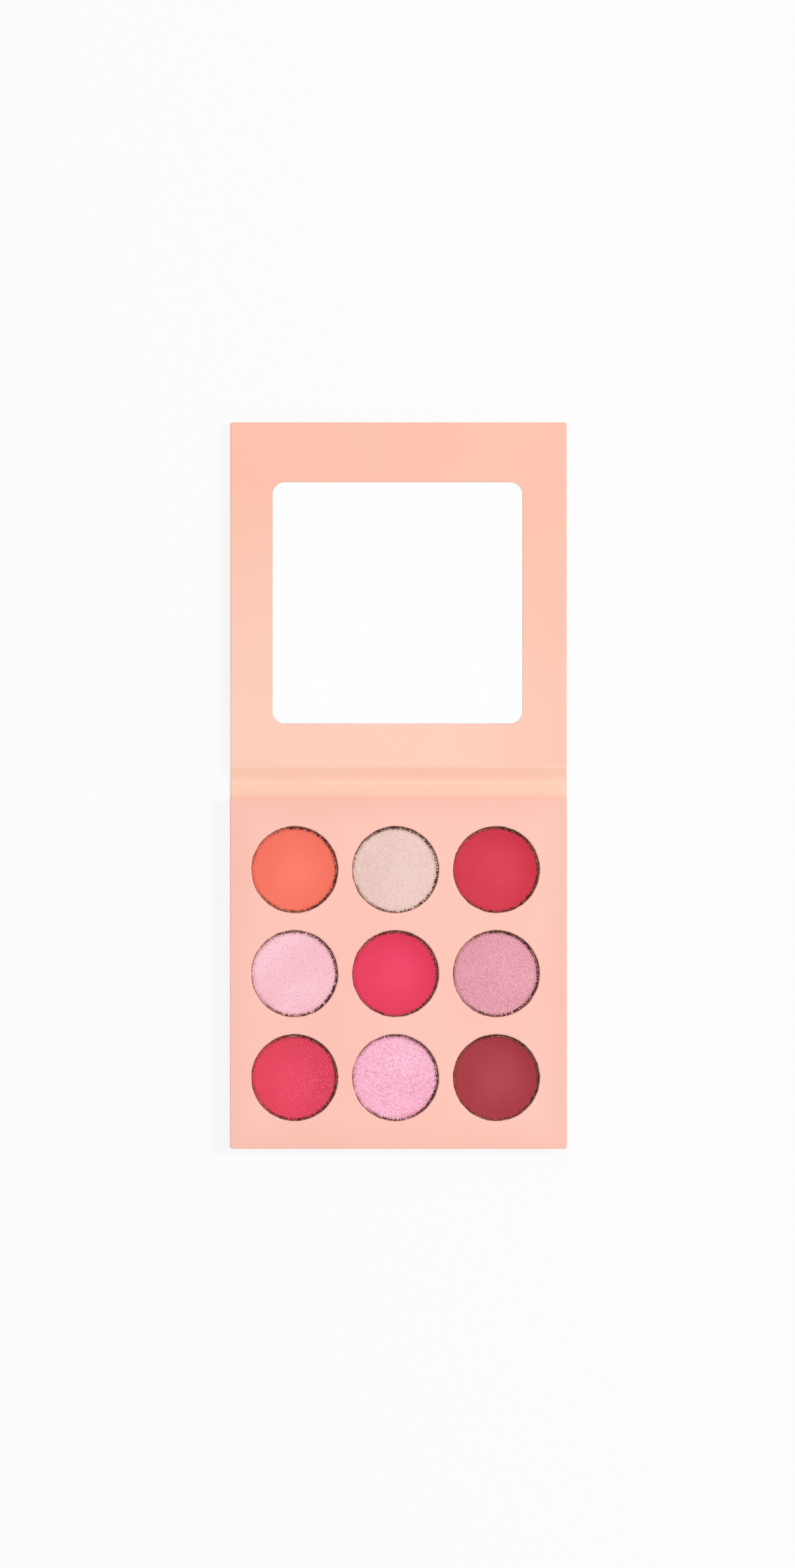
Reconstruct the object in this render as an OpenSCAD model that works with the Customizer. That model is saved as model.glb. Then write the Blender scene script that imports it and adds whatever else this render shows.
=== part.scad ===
// Folding eyeshadow palette, lying open and flat: nine round pans in a tray, a
// card spine with a paper fold on each side, and a lid that holds a mirror.
// The origin is under the centre of the open palette. +Y runs from the tray to
// the lid, +Z is up, and the outer paper lies on z = 0.

/* [Palette] */
// Width of the tray and the lid
palette_w = 105; // [104:0.5:125]
// Length of the tray, front edge to back face
tray_l = 109.15; // [108:0.05:125]
// Length of the lid's raised frame
frame_l = 107.35; // [104:0.05:125]
// Radius of the outer corners
corner_r = 0.8; // [0.4:0.1:2]

/* [Papers and boards] */
// Thickness of the printed outer paper
wrap_t = 0.2; // [0.15:0.05:0.3]
// Thickness of the inner lining papers
lining_t = 0.15; // [0.1:0.05:0.2]
// Thickness of the greyboard in the base and in the lid
board_t = 1.2; // [1:0.1:2]
// Thickness of each of the two greyboard layers in the tray
tray_layer_t = 1.85; // [1.7:0.05:2.5]
// Thickness of the lid's frame card
frame_t = 1.05; // [1.05:0.05:1.6]
// Thickness of the spine card
spine_card_t = 0.4; // [0.3:0.05:0.5]

/* [Spine and folds] */
// Width of the spine card
spine_w = 5.6; // [4:0.1:5.8]
// Width of the groove between the tray and the spine card
tray_groove_w = 1; // [0.8:0.1:1.2]
// Air between the tray and the lid when the palette is shut
shut_gap = 0.2; // [0.2:0.05:0.6]

/* [Pans] */
// Outer diameter of a pan
pan_d = 26.6; // [24:0.1:27]
// Height of a pan
pan_h = 3.5; // [3:0.1:3.5]
// Thickness of a pan's tinplate
pan_wall = 0.25; // [0.2:0.01:0.3]
// Diameter of the wells in the tray
well_d = 27.4; // [27.2:0.1:28]
// Distance between the columns of wells
column_pitch = 31.4; // [30.5:0.1:32]
// Distance between the rows of wells
row_pitch = 32.4; // [30.5:0.1:32.5]
// Sideways offset of the middle column from the palette's centre line
column_offset = -1; // [-1.5:0.1:1.5]

/* [Mirror] */
// Width of the window in the lid's frame
window_w = 78.4; // [50:0.1:84]
// Length of the window in the lid's frame
window_l = 75.75; // [50:0.05:76]
// Corner radius of the window
window_r = 4; // [2:0.5:10]
// Distance from the frame's hinge edge to the window
window_margin = 13.15; // [8:0.05:14]
// Sideways offset of the window from the palette's centre line
window_offset = -0.35; // [-1:0.05:1]
// Thickness of the mirror's glass
glass_t = 0.9; // [0.8:0.05:0.9]

/* [Magnets] */
// Diameter of the magnets and their catch plates
magnet_d = 8; // [5:0.5:8]
// Thickness of the magnets
magnet_t = 0.95; // [0.6:0.05:1]
// Distance from the tray's back face to the catch plates
catch_distance = 100.5; // [99:0.5:101]

/* [Hidden] */
$fn = 96;
fold_axis_z = 0.15;       // height of both fold lines, within the outer paper
fold_clear = 0.2;         // from a fold line to the nearest card edge
frame_setback = 1.1;      // from the lid's fold line to its raised frame
catch_t = 0.5;            // thickness of the steel catch plates
pocket_play = 0.1;        // extra diameter of the magnet and plate pockets
silver_t = 0.03;          // silver and backing paint behind the glass
mirror_play = 0.25;       // gap between the mirror and the window's edge
tape_margin = 1.25;       // from the window's edge in to the adhesive sheet
glue_t = 0.1;             // thickness of the glue under each pan
glue_d = 12;
bead_r = 0.28;            // radius of the rolled bead around a pan's rim
pan_chamfer = 0.5;
powder_drop = 0.2;        // from a pan's rim down to its powder
powder_play = 0.04;       // gap between a powder's side and the pan's bead
cut = 1;                  // how far a cutter runs past a face

// Heights, from the table upwards
board_z = wrap_t;
board_top = board_z + board_t;
lining_top = board_top + lining_t;
layer2_z = lining_top + tray_layer_t;
tray_boards_top = layer2_z + tray_layer_t;
tray_top = tray_boards_top + wrap_t;
frame_top = lining_top + frame_t;
lid_top = frame_top + lining_t;
spine_lining_z = wrap_t + spine_card_t;
spine_top = spine_lining_z + lining_t;
pan_z = lining_top + glue_t;
catch_z = tray_boards_top - catch_t;
mirror_tape_t = frame_t - glass_t - silver_t;
silver_z = lining_top + mirror_tape_t;
glass_z = silver_z + silver_t;

// The fold lines stand as far apart as the shut palette is thick
shut_h = tray_top + shut_gap + lid_top;
fold_span = shut_h - 2 * fold_axis_z;

// Width inside the folded-up outer paper
inner_w = palette_w - 2 * wrap_t;

// Places along Y
fold1_from_tray = tray_groove_w - fold_clear;
fold2_from_tray = fold1_from_tray + fold_span;
frame_from_tray = fold2_from_tray + frame_setback;
total_l = tray_l + frame_from_tray + frame_l;
tray_front = -total_l / 2;
tray_back = tray_front + tray_l;
spine_near = tray_back + tray_groove_w;
spine_far = spine_near + spine_w;
fold1_y = tray_back + fold1_from_tray;
fold2_y = tray_back + fold2_from_tray;
lid_near = fold2_y + fold_clear;
frame_near = tray_back + frame_from_tray;
lid_far = total_l / 2;
window_near = frame_near + window_margin;
catch_y = tray_back - catch_distance;
magnet_y = fold1_y + fold2_y - catch_y;    // above the catch plates when shut
first_row_y = tray_back - (tray_l - 2 * row_pitch) / 2;

wells = [for (row = [0 : 2], column = [-1 : 1])
    [column_offset + column * column_pitch, first_row_y - row * row_pitch]];
catch_places = [for (side = [-1, 1])
    column_offset + side * column_pitch / 2];

shadow_names = ["shadow_coral", "shadow_champagne", "shadow_poppy",
    "shadow_blush", "shadow_fuchsia", "shadow_mauve",
    "shadow_raspberry", "shadow_candy", "shadow_brick"];
shadow_colours = ["#fa7a64", "#eccbc4", "#da4456",
    "#fbc3ce", "#ec4765", "#e8a1ae",
    "#e64b63", "#f9b6cc", "#ae424b"];
pan_names = [for (i = [1 : 9]) str("pan_", i)];

// A rectangle centred on X, from y = near to y = far, with round corners at its
// far end, which may lie on either side of the near end
module leaf_outline(width, near, far, radius) {
    length = abs(far - near);
    translate([0, near]) mirror([0, far < near ? 1 : 0]) union() {
        translate([-width / 2, 0]) square([width, length - radius]);
        translate([-width / 2 + radius, 0]) square([width - 2 * radius, length]);
        for (side = [-1, 1])
            translate([side * (width / 2 - radius), length - radius])
                circle(r = radius);
    }
}

// A flat sheet or board of that outline
module leaf(width, near, far, radius, z, thickness) {
    translate([0, 0, z]) linear_extrude(height = thickness)
        leaf_outline(width, near, far, radius);
}

// A rectangle with four round corners, centred on X, from y = near
module window_outline(width, length, near, radius) {
    translate([-width / 2, near + radius])
        square([width, length - 2 * radius]);
    translate([-width / 2 + radius, near])
        square([width - 2 * radius, length]);
    for (side = [-1, 1], end = [radius, length - radius])
        translate([side * (width / 2 - radius), near + end])
            circle(r = radius);
}

module window_plate(inset, z, thickness) {
    translate([window_offset, 0, z]) linear_extrude(height = thickness)
        window_outline(window_w - 2 * inset, window_l - 2 * inset,
            window_near + inset, window_r - inset);
}

// A paper sheet under a board, folded up around its two sides and its outer end
module folded_wrap(near, far, height, thickness) {
    run = far > near ? 1 : -1;
    difference() {
        leaf(palette_w, near, far, corner_r, 0, height);
        leaf(palette_w - 2 * thickness, near - run * cut, far - run * thickness,
            corner_r - thickness, thickness, height);
    }
}

module well_holes(diameter, z, height) {
    for (place = wells)
        translate([place.x, place.y, z]) cylinder(d = diameter, h = height);
}

module discs(y, diameter, z, height) {
    for (x = catch_places)
        translate([x, y, z]) cylinder(d = diameter, h = height);
}

// A strip across the palette whose end view is a list of [y, z] points
module strip(points, width) {
    translate([-width / 2, 0, 0])
        rotate([90, 0, 90]) linear_extrude(height = width) polygon(points);
}

module flat_strip(near, far, z, thickness, width) {
    strip([[near, z], [far, z], [far, z + thickness], [near, z + thickness]], width);
}

// Base and tray

module base_wrap() {
    color("#f9c1ab") folded_wrap(tray_back, tray_front, board_top, wrap_t);
}

module base_board() {
    color("#b9b2a6") leaf(inner_w, tray_back, tray_front + wrap_t,
        corner_r - wrap_t, board_z, board_t);
}

module base_lining() {
    color("#f9c1ab") leaf(inner_w, tray_back, tray_front + wrap_t,
        corner_r - wrap_t, board_top, lining_t);
}

module tray_board(z) {
    difference() {
        leaf(inner_w, tray_back - wrap_t, tray_front + wrap_t,
            corner_r - wrap_t, z, tray_layer_t);
        well_holes(well_d, z - cut, tray_layer_t + 2 * cut);
    }
}

module tray_lower_board() {
    color("#b9b2a6") tray_board(lining_top);
}

module tray_upper_board() {
    color("#b9b2a6") difference() {
        tray_board(layer2_z);
        discs(catch_y, magnet_d + pocket_play, catch_z, catch_t + cut);
    }
}

// The tray's printed paper: a top sheet with nine holes and four sides
module tray_wrap() {
    color("#f9c1ab") difference() {
        leaf(palette_w, tray_back, tray_front, corner_r, lining_top,
            tray_top - lining_top);
        leaf(inner_w, tray_back - wrap_t, tray_front + wrap_t,
            corner_r - wrap_t, lining_top - cut, tray_boards_top - lining_top + cut);
        well_holes(well_d, tray_boards_top - cut, wrap_t + 2 * cut);
    }
}

module catch_plates() {
    color("#8d9094") discs(catch_y, magnet_d, catch_z, catch_t);
}

module pan_glue_dots() {
    color("#e8dcc0") well_holes(glue_d, lining_top, glue_t);
}

// A drawn tinplate cup with a chamfered foot and a rolled bead at its rim
module pan(place) {
    r = pan_d / 2;
    color("#c9c9cc") translate([place.x, place.y, pan_z]) rotate_extrude() union() {
        polygon([
            [0, 0], [r - pan_chamfer, 0], [r, pan_chamfer], [r, pan_h - bead_r],
            [r - pan_wall, pan_h - bead_r], [r - pan_wall, pan_chamfer],
            [r - pan_chamfer, pan_wall], [0, pan_wall]
        ]);
        translate([r - bead_r, pan_h - bead_r]) circle(r = bead_r, $fn = 32);
    }
}

// A pressed powder that fills its pan and narrows to pass the bead
module shadow(place) {
    r = pan_d / 2 - pan_wall;
    mouth_r = pan_d / 2 - 2 * bead_r - powder_play;
    neck = pan_h - 2 * bead_r - powder_play;
    translate([place.x, place.y, pan_z]) rotate_extrude() polygon([
        [0, pan_wall], [r + pan_wall - pan_chamfer, pan_wall], [r, pan_chamfer],
        [r, neck - (r - mouth_r)], [mouth_r, neck],
        [mouth_r, pan_h - powder_drop], [0, pan_h - powder_drop]
    ]);
}

// Spine and folds

module tray_fold_paper() {
    color("#f9c1ab") flat_strip(tray_back, spine_near, 0, wrap_t, palette_w);
}

// Comes down the back of the base board, crosses the groove and climbs the spine
module tray_fold_lining() {
    y0 = tray_back;
    y1 = spine_near;
    color("#f9c1ab") strip([
        [y0, wrap_t], [y1, wrap_t], [y1, spine_top], [y1 - lining_t, spine_top],
        [y1 - lining_t, wrap_t + lining_t], [y0 + lining_t, wrap_t + lining_t],
        [y0 + lining_t, lining_top], [y0, lining_top]
    ], inner_w);
}

// The outer paper runs under the spine card and is folded up over its two ends
module spine_wrap() {
    color("#f9c1ab") difference() {
        flat_strip(spine_near, spine_far, 0, spine_lining_z, palette_w);
        flat_strip(spine_near - cut, spine_far + cut, wrap_t, spine_lining_z, inner_w);
    }
}

module spine_card() {
    color("#b9b2a6") flat_strip(spine_near, spine_far, wrap_t, spine_card_t, inner_w);
}

module spine_lining() {
    color("#f9cbb4")
        flat_strip(spine_near, spine_far, spine_lining_z, lining_t, inner_w);
}

module lid_fold_paper() {
    color("#f9c1ab") flat_strip(spine_far, lid_near, 0, wrap_t, palette_w);
}

// Comes down from the spine, crosses the groove and climbs the lid board
module lid_fold_lining() {
    y0 = spine_far;
    y1 = lid_near;
    color("#f9c1ab") strip([
        [y0, wrap_t], [y1, wrap_t], [y1, lining_top], [y1 - lining_t, lining_top],
        [y1 - lining_t, wrap_t + lining_t], [y0 + lining_t, wrap_t + lining_t],
        [y0 + lining_t, spine_top], [y0, spine_top]
    ], inner_w);
}

// Lid

module lid_wrap() {
    color("#f9c1ab") folded_wrap(lid_near, lid_far, board_top, wrap_t);
}

module lid_board() {
    color("#b9b2a6") leaf(inner_w, lid_near, lid_far - wrap_t,
        corner_r - wrap_t, board_z, board_t);
}

module lid_lining() {
    color("#f9c1ab") leaf(inner_w, lid_near, lid_far - wrap_t,
        corner_r - wrap_t, board_top, lining_t);
}

module lid_frame() {
    color("#b9b2a6") difference() {
        leaf(palette_w - 2 * lining_t, frame_near + lining_t, lid_far - lining_t,
            corner_r - lining_t, lining_top, frame_t);
        window_plate(-lining_t, lining_top - cut, frame_t + 2 * cut);
        discs(magnet_y, magnet_d + pocket_play, lining_top - cut, frame_t + 2 * cut);
    }
}

// The frame's printed paper: its face, its four outer sides and the window's sides
module frame_wrap() {
    color("#fac8b0") difference() {
        leaf(palette_w, frame_near, lid_far, corner_r, lining_top,
            lid_top - lining_top);
        difference() {
            leaf(palette_w - 2 * lining_t, frame_near + lining_t, lid_far - lining_t,
                corner_r - lining_t, lining_top - cut, frame_t + cut);
            window_plate(-lining_t, lining_top - 2 * cut, frame_t + 4 * cut);
        }
        window_plate(0, lining_top - cut, frame_t + 3 * cut);
    }
}

module lid_magnets() {
    color("#8a8c90") discs(magnet_y, magnet_d, frame_top - magnet_t, magnet_t);
}

module mirror_tape() {
    color("#efefe8") window_plate(tape_margin, lining_top, mirror_tape_t);
}

module mirror_silver() {
    color("#9ba0a6") window_plate(mirror_play, silver_z, silver_t);
}

module mirror_glass() {
    color("#dfe8ea") window_plate(mirror_play, glass_z, glass_t);
}

base_wrap();
base_board();
base_lining();
tray_lower_board();
tray_upper_board();
tray_wrap();
pan_glue_dots();
catch_plates();
tray_fold_paper();
tray_fold_lining();
spine_wrap();
spine_card();
spine_lining();
lid_fold_paper();
lid_fold_lining();
lid_wrap();
lid_board();
lid_lining();
lid_frame();
frame_wrap();
lid_magnets();
mirror_tape();
mirror_silver();
mirror_glass();
for (i = [0 : 8]) {
    pan(wells[i]);
    color(shadow_colours[i]) shadow(wells[i]);
}
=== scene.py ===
"""The looks of a folding eyeshadow palette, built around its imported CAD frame.

Everything is in metres. Printed papers, tinplate pans and pressed powders stand for
their plain CAD solids; the boards, the mirror and the magnets keep theirs.
"""
import math
import random

import bmesh
import bpy
import numpy as np
from mathutils import Matrix, Vector, noise


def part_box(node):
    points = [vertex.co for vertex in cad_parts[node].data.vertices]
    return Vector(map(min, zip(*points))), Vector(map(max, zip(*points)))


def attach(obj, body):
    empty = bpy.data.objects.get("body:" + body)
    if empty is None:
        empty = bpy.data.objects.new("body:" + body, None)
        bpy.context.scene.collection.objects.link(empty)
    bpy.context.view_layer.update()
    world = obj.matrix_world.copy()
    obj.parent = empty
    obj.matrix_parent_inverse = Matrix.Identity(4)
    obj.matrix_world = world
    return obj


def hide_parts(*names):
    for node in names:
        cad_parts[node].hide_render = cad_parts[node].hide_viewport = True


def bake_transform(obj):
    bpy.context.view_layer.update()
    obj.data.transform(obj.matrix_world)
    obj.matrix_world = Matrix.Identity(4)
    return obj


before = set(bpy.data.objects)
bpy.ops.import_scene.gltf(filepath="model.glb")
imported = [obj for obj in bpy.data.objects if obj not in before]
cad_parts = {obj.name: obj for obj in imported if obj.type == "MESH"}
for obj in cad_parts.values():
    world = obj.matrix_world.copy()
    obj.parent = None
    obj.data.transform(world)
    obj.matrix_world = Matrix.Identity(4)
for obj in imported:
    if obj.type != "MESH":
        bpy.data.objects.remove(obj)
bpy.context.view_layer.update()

MM = 0.001

# ---------------------------------------------------------------- sizes

PAPER = 0.2 * MM              # printed outer paper
LINING = 0.15 * MM            # lining papers
EDGE_ROLL = 0.38 * MM         # how round the paper turns over a board's edge
WELL_ROLL = 0.55 * MM         # how far the paper is pressed down round a well
WINDOW_ROLL = 0.12 * MM
WELL_PAPER = 0.33 * MM        # and how far it stands in front of the well's wall
WELL_FRAY = 0.13 * MM         # how far its die-cut edge wanders
PAPER_INTO_WELL = 0.9 * MM    # how deep the pressed paper reaches into a well
PROUD = 0.03 * MM             # a paper stands this far in front of what it covers
CORNER = 0.8 * MM             # round corners at the two far ends
HINGE_CORNER = 0.45 * MM      # and beside the folds, where the paper is cut square
FINE_PLACES = (0.12, 0.28, 0.46, 0.64, 0.82, 1.0, 1.25)  # corner radii from a corner
FACE_SHARES = (0.02, 0.08, 0.25, 0.55, 0.98, 1.0)        # of the way from a hole to its cell

BEAD = 0.34 * MM              # radius of the rolled bead round a pan's rim
PAN_WALL = 0.25 * MM
PAN_FOOT = 0.5 * MM
POWDER_COAT = 0.035 * MM      # how thick the powder lies on top of the bead
POWDER_FILL = 0.09 * MM       # how far below the rim it fills the crack beside the well
SPILL = 1.35                  # how many bead radii from the bead's middle it may reach
CRUMBS = 110                  # on each pan's rim
CRUMB_TILTS = (-0.9, -0.3, 0.35, 0.95)  # the heights, as angles, of a crumb's rings
CRUMB_SIDES = 7
CRUMB_STRETCH = ((0.7, 1.3), (0.6, 1.1), (0.5, 0.8))
CRUMB_POINTS = len(CRUMB_TILTS) * CRUMB_SIDES
CRUMB_SEED = 100
LIGHT_TURN = 0.25             # the bare stretch of each rim lies this much past the gap
WORN_ANGLE = -2.2             # and a short one at its front left
WORN_AWAY = {"frost": 0.40, "leathery": 0.55}  # bead radii these finishes are worn back by

base_lo, base_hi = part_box("base_wrap")
tray_lo, tray_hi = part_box("tray_wrap")
lid_lo, lid_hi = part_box("lid_wrap")
frame_lo, frame_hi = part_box("frame_wrap")
glass_lo, glass_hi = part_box("mirror_glass")
spine_lo, spine_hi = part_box("spine_wrap")
spine_lining_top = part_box("spine_lining")[1].z
lining_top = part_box("base_lining")[1].z
pan_lo, pan_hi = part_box("pan_1")

TRAY_BACK = tray_hi.y
SPINE_NEAR, SPINE_FAR = spine_lo.y, spine_hi.y
LID_NEAR, FRAME_NEAR = lid_lo.y, frame_lo.y
HALF_W = tray_hi.x
PAN_RADIUS = (pan_hi.x - pan_lo.x) / 2

# ---------------------------------------------------------------- shades

# One row per pan, left to right and back to front: name, base colour, its lighter
# and darker tones, finish, and how far the pan sits off its well's centre.
SHADES = [
    ("coral", (253, 124, 104), (252, 134, 118), (243, 108, 86), "matte", (-0.06, -0.02)),
    ("champagne", (239, 205, 197), (252, 226, 218), (200, 160, 152), "shimmer", (-0.01, -0.06)),
    ("poppy", (214, 60, 79), (227, 81, 98), (201, 53, 72), "matte", (-0.05, -0.04)),
    ("blush", (255, 199, 211), (255, 224, 234), (224, 140, 150), "satin", (-0.06, 0.00)),
    ("fuchsia", (234, 66, 98), (244, 78, 111), (224, 56, 85), "matte", (-0.03, -0.03)),
    ("mauve", (243, 163, 177), (255, 198, 212), (160, 84, 100), "frost", (-0.06, -0.03)),
    ("raspberry", (236, 58, 88), (252, 96, 126), (184, 24, 58), "leathery", (-0.06, -0.02)),
    ("candy", (255, 180, 206), (255, 214, 232), (204, 98, 126), "glitter", (-0.06, 0.02)),
    ("brick", (172, 64, 71), (187, 79, 88), (162, 55, 64), "matte", (-0.05, -0.05)),
]
SOIL_AND_SHADE = (120, 62, 50)          # what handling leaves on the rims of pans, and the brown of painted shade round the powders' edges
GAP_SIDE = (0.78, 0.62, 0.0)  # the way towards the pans' gaps, where painted shade on a powder's edge is deepest
PAINTED_SHEEN = 10                # how much paler a painted sheen makes a matte powder at its middle, out of 255
PAINTED_EDGE_SHADE = 10                   # and how much deeper painted shade makes it towards the gap side
PAINTED_SPARKLE = 12                  # how much paler a painted glitter highlight makes a glittering one at its back

FIBRE_TONE = (238, 168, 150)  # fibres in the printed paper
BORDER_TONE = (238, 172, 152)
LIP_BROWN_AND_SHADE = (150, 92, 72)     # powder worked into the wells' paper lips, and painted shade down into the wells


def linear(rgb):
    """An sRGB colour out of 255 as the linear colour that the shaders take."""
    def channel(value):
        value /= 255
        return value / 12.92 if value <= 0.04045 else ((value + 0.055) / 1.055) ** 2.4
    return (*[channel(value) for value in rgb], 1.0)


# ---------------------------------------------------------------- node helpers

def node(tree, kind, inputs=None, **settings):
    """A shader node, with its inputs set from constants or linked from sockets."""
    made = tree.nodes.new(kind)
    for key, value in settings.items():
        setattr(made, key, value)
    for key, value in (inputs or {}).items():
        if isinstance(value, bpy.types.NodeSocket):
            tree.links.new(value, made.inputs[key])
        else:
            made.inputs[key].default_value = value
    return made


def new_material(name, **sockets):
    """A material's tree, its principled shader and the object's own coordinates."""
    made = bpy.data.materials.new(name)
    made.use_nodes = True
    tree = made.node_tree
    shader = tree.nodes["Principled BSDF"]
    for key, value in sockets.items():
        shader.inputs[key.replace("_", " ")].default_value = value
    coords = node(tree, "ShaderNodeTexCoord").outputs["Object"]
    return made, tree, shader, coords


def noise_of(tree, coords, size, detail=4.0, rough=0.55, stretch=None):
    """Noise from 0 to 1 whose features are about size metres across."""
    if stretch:
        coords = node(tree, "ShaderNodeMapping", {"Vector": coords, "Scale": stretch}).outputs[0]
    return node(tree, "ShaderNodeTexNoise", {
        "Vector": coords, "Scale": 1 / size, "Detail": detail, "Roughness": rough,
    }).outputs["Fac"]


def spread(tree, value, low, high, to_low=0.0, to_high=1.0):
    """A value stretched from one range to another and held inside it."""
    return node(tree, "ShaderNodeMapRange", {
        "Value": value, "From Min": low, "From Max": high, "To Min": to_low, "To Max": to_high,
    }).outputs["Result"]


def mixed(tree, factor, first, second):
    """A colour between two, where either may be a constant or a socket."""
    made = tree.nodes.new("ShaderNodeMix")
    made.data_type = "RGBA"
    for index, value in ((0, factor), (6, first), (7, second)):
        if isinstance(value, bpy.types.NodeSocket):
            tree.links.new(value, made.inputs[index])
        else:
            made.inputs[index].default_value = value
    return made.outputs[2]


def bumped(tree, height, distance, strength=1.0, below=None):
    """A normal tilted by a height, over another bump's normal if one is given."""
    inputs = {"Height": height, "Distance": distance, "Strength": strength}
    if below is not None:
        inputs["Normal"] = below
    return node(tree, "ShaderNodeBump", inputs).outputs["Normal"]


def math_of(tree, operation, first, second=0.0):
    """One sum on two values. ABSOLUTE takes only the first."""
    return node(tree, "ShaderNodeMath", {0: first, 1: second}, operation=operation).outputs[0]


def product(tree, first, second):
    return math_of(tree, "MULTIPLY", first, second)


def along(tree, coords, axis):
    """A point's X, Y or Z."""
    return node(tree, "ShaderNodeSeparateXYZ", {0: coords}).outputs[axis]


def distance_from(tree, coords, centre):
    """How far a point lies from a place, seen from above."""
    x = math_of(tree, "SUBTRACT", along(tree, coords, "X"), centre[0])
    y = math_of(tree, "SUBTRACT", along(tree, coords, "Y"), centre[1])
    flat = node(tree, "ShaderNodeCombineXYZ", {"X": x, "Y": y}).outputs[0]
    return node(tree, "ShaderNodeVectorMath", {0: flat}, operation="LENGTH").outputs["Value"]


# ---------------------------------------------------------------- materials

def paper_material(name, warm, light, fade_from=None, fade_to=None, border=None):
    """Matt-laminated printed paper: soft tonal drift, fine fibre and a low sheen.

    Where a fade is given its tone goes from warm to light along Y, sooner on the right.
    Where a border is given, as near and far Y, it deepens along its edges, and the
    lips of the wells brown as they turn down: powder worked in, and painted shade."""
    made, tree, shader, coords = new_material(name, Roughness=0.52)
    shader.inputs["Specular IOR Level"].default_value = 0.35
    drift = noise_of(tree, coords, 38 * MM, 2.0, 0.4)
    tone = spread(tree, drift, 0.3, 0.7)
    if fade_from is not None:
        fade = spread(tree, along(tree, coords, "Y"), fade_from, fade_to)
        side = spread(tree, along(tree, coords, "X"), 15 * MM, HALF_W, 0.0, 0.62)
        fade = math_of(tree, "MINIMUM", math_of(tree, "ADD", fade, side), 1.0)
        tone = math_of(tree, "ADD", product(tree, fade, 0.85), product(tree, tone, 0.15))
    colour = mixed(tree, tone, linear(warm), linear(light))
    fibre = noise_of(tree, coords, 0.35 * MM, 5.0, 0.65)
    speck = spread(tree, fibre, 0.35, 0.75, 0.0, 0.10)
    colour = mixed(tree, speck, colour, linear(FIBRE_TONE))
    if border:
        near, far = border
        middle, half = (near + far) / 2, (far - near) / 2
        off_x = math_of(tree, "ABSOLUTE", along(tree, coords, "X"))
        off_y = math_of(tree, "SUBTRACT", along(tree, coords, "Y"), middle)
        from_side = math_of(tree, "SUBTRACT", HALF_W, off_x)
        from_end = math_of(tree, "SUBTRACT", half, math_of(tree, "ABSOLUTE", off_y))
        from_edge = math_of(tree, "MINIMUM", from_side, from_end)
        colour = mixed(tree, spread(tree, from_edge, 1 * MM, 9 * MM, 0.22, 0.0), colour,
                       linear(BORDER_TONE))
        lip = node(tree, "ShaderNodeAttribute", attribute_name="lip").outputs["Fac"]
        patchy = spread(tree, noise_of(tree, coords, 3 * MM, 4.0), 0.35, 0.6, 0.35, 0.9)
        # lip brown: powder worked in, with painted shade as the paper turns down into a well
        brown = product(tree, spread(tree, lip, 0.2, 1.0), patchy)
        colour = mixed(tree, brown, colour, linear(LIP_BROWN_AND_SHADE))
    tree.links.new(colour, shader.inputs["Base Color"])
    gloss = spread(tree, noise_of(tree, coords, 6 * MM, 3.0), 0.3, 0.7, 0.46, 0.58)
    tree.links.new(gloss, shader.inputs["Roughness"])
    soft = bumped(tree, noise_of(tree, coords, 9 * MM, 2.0), 0.10 * MM, 0.35)
    fine = bumped(tree, fibre, 0.012 * MM, 0.5, soft)
    tree.links.new(fine, shader.inputs["Normal"])
    return made


def board_material():
    """Raw greyboard: matted grey-brown fibres with darker flecks."""
    made, tree, shader, coords = new_material("greyboard", Roughness=0.92)
    fibres = noise_of(tree, coords, 0.5 * MM, 8.0, 0.7, (1.0, 1.0, 4.0))
    colour = mixed(tree, spread(tree, fibres, 0.3, 0.7), linear((150, 138, 122)),
                   linear((196, 186, 170)))
    flecks = spread(tree, noise_of(tree, coords, 0.22 * MM, 3.0), 0.66, 0.74)
    colour = mixed(tree, flecks, colour, linear((96, 84, 74)))
    tree.links.new(colour, shader.inputs["Base Color"])
    tree.links.new(bumped(tree, fibres, 0.06 * MM, 0.8), shader.inputs["Normal"])
    return made


def tinplate_material(name, dust_colour, centre):
    """Bright tinplate, tarnished in patches, with painted dark reflections, glints and right-side
    shade, and dusted with its own powder, most on its left.
    """
    made, tree, shader, coords = new_material(name, Metallic=1.0)
    streaks = noise_of(tree, coords, 0.6 * MM, 5.0, 0.6, (1.0, 1.0, 6.0))
    tarnish = spread(tree, noise_of(tree, coords, 9 * MM, 1.0), 0.45, 0.60)
    bright = mixed(tree, tarnish, linear((156, 110, 92)), linear((232, 184, 134)))
    # the streaks' dark tone is a painted dark reflection over the bright tin
    metal = mixed(tree, spread(tree, streaks, 0.46, 0.62), linear((44, 22, 24)), bright)
    across = along(tree, coords, "X")
    # painted shade, deeper towards the pan's right
    shaded = spread(tree, across, centre.x, centre.x + 11 * MM, 0.0, 0.8)
    metal = mixed(tree, shaded, metal, linear((84, 48, 52)))
    # painted glints
    glints = spread(tree, noise_of(tree, coords, 0.5 * MM, 2.0), 0.68, 0.74)
    metal = mixed(tree, glints, metal, linear((250, 236, 222)))
    patches = noise_of(tree, coords, 0.8 * MM, 5.0, 0.7)
    dust = spread(tree, patches, 0.50, 0.60, 0.0, 0.6)
    lean = spread(tree, across, centre.x - 4 * MM, centre.x - 10 * MM)
    clumps = spread(tree, noise_of(tree, coords, 4 * MM, 2.0), 0.42, 0.58, 0.55, 1.0)
    dust = math_of(tree, "MAXIMUM", dust, product(tree, lean, clumps))
    soil_and_shade_tone = [0.85 * c + 0.15 * brown for c, brown in zip(dust_colour, SOIL_AND_SHADE)]
    tree.links.new(mixed(tree, dust, metal, linear(soil_and_shade_tone)), shader.inputs["Base Color"])
    tree.links.new(spread(tree, dust, 0.0, 1.0, 1.0, 0.0), shader.inputs["Metallic"])
    tree.links.new(spread(tree, dust, 0.0, 1.0, 0.28, 0.9), shader.inputs["Roughness"])
    tree.links.new(bumped(tree, patches, 0.05 * MM, 0.5), shader.inputs["Normal"])
    return made


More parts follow.
